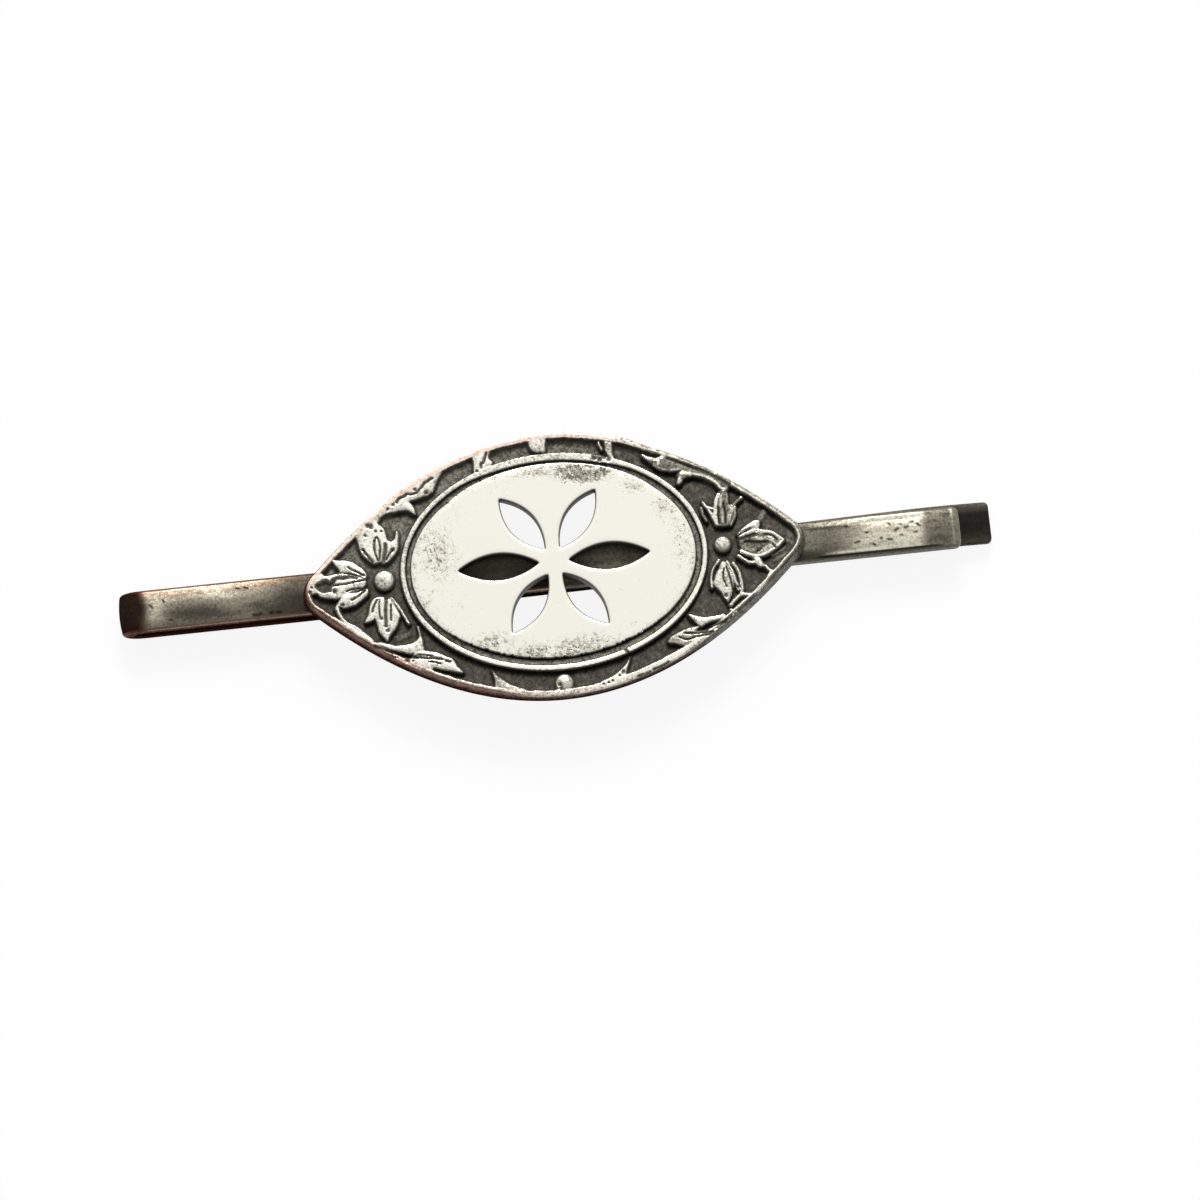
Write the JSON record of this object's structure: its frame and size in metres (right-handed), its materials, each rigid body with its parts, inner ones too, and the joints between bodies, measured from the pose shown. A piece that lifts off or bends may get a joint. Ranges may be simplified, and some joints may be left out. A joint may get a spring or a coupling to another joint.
{
  "type": "tie clip",
  "caption": "Slide tie clip: a flat silver strip bent into a sprung hairpin, with a pierced pointed-oval plaque and a floral relief border on its front.",
  "frame": {"origin": "centre of the clip's box, on the surface that the clip lies on with its plaque up", "axes": "+X along the bar from the bend to the free tips, +Y across the bar, +Z out of the decorated front"},
  "size_m": [0.0568, 0.0174, 0.0043],
  "materials": {
    "strip_silver": "worn, scratched and lightly tarnished silver",
    "struck_silver": "oxidised ground with relief worn bright",
    "polished_silver": "polished, with fine scratches and pits",
    "solder": "dull, tarnished"
  },
  "bodies": {
    "front": {"front_bar": "strip_silver", "spring_bend": "strip_silver", "plaque_frame": "struck_silver", "pierced_panel": "polished_silver", "solder_left_upper": "solder", "solder_left_lower": "solder", "solder_right_upper": "solder", "solder_right_lower": "solder"},
    "tongue": {"spring_tongue": "strip_silver"}
  },
  "joints": [
    {"name": "tongue_flex", "type": "hinge", "parent": "front", "child": "tongue", "pos_m": [-0.02705, 0.00005, 0.0014], "axis": [0, 1, 0], "range_deg": [0, 5], "stiffness_Nm_per_rad": 0.4, "springref_deg": -2.86}
  ]
}
